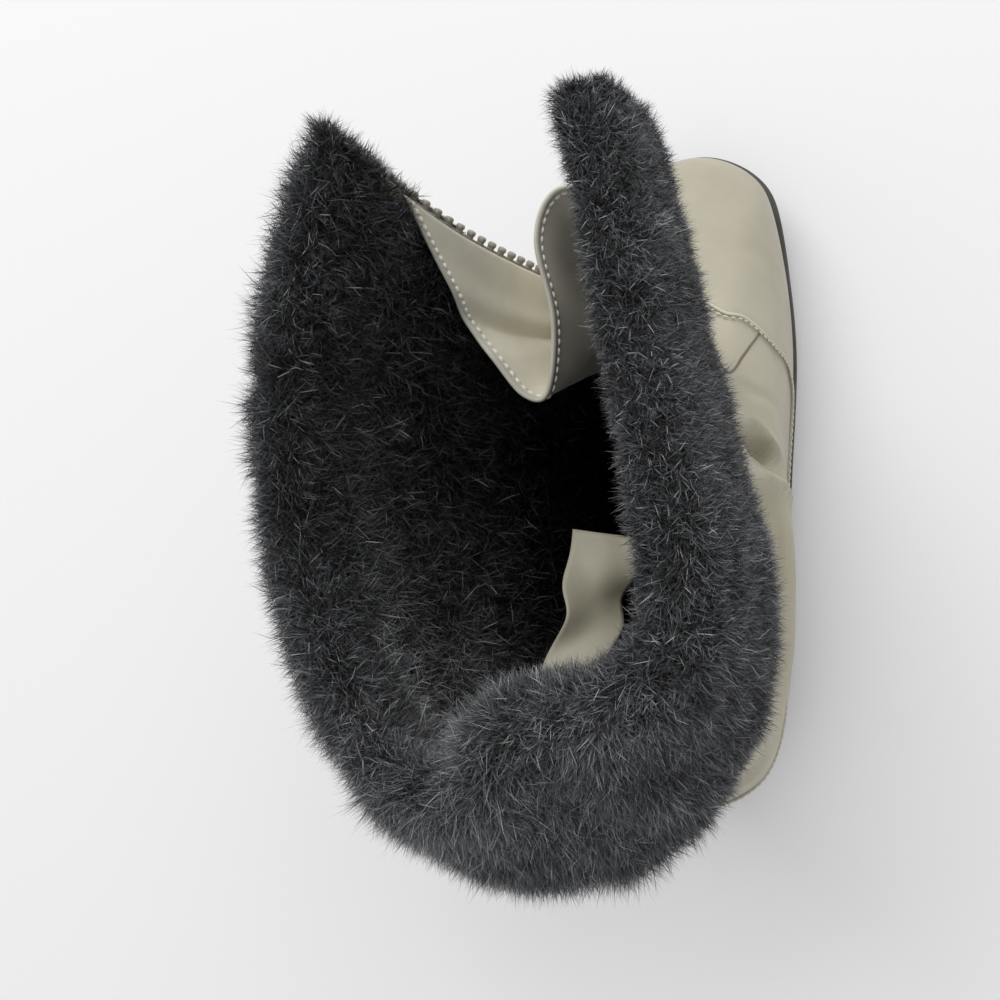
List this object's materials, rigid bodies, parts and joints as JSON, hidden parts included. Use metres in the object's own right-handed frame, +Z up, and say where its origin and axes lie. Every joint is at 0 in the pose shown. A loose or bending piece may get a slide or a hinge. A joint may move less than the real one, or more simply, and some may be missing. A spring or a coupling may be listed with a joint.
{
  "type": "winter boot",
  "caption": "Left winter boot with a leather upper, a front zip open over a bellows gusset, a deep fur cuff and lining, and a lugged rubber sole.",
  "frame": {"origin": "on the floor under the middle of the heel tread", "axes": "+Y from heel to toe, +X to the inner side of the foot, +Z up"},
  "size_m": [0.1557, 0.2865, 0.3],
  "materials": {
    "rubber": "matt moulded rubber",
    "felt": "black felt",
    "leather": "taupe leather with a soft sheen",
    "nylon": "taupe woven nylon",
    "pile": "black and grey deep pile",
    "zip_plastic": "taupe moulded plastic",
    "satin": "off-white satin",
    "zip_metal": "grey enamel"
  },
  "bodies": {
    "boot": {"outsole": "rubber", "insole": "felt", "upper": "leather", "gusset": "nylon", "fur_lining": "pile", "fur_cuff": "pile", "zip_outer": "zip_plastic", "zip_inner": "zip_plastic", "label": "satin", "zip_slider": "zip_metal"},
    "pull": {"zip_pull": "zip_metal"}
  },
  "joints": [
    {"name": "pull_hinge", "type": "hinge", "parent": "boot", "child": "pull", "pos_m": [-0.0061, 0.16364, 0.11831], "axis": [1, 0, 0], "range_deg": [0, 150]}
  ]
}
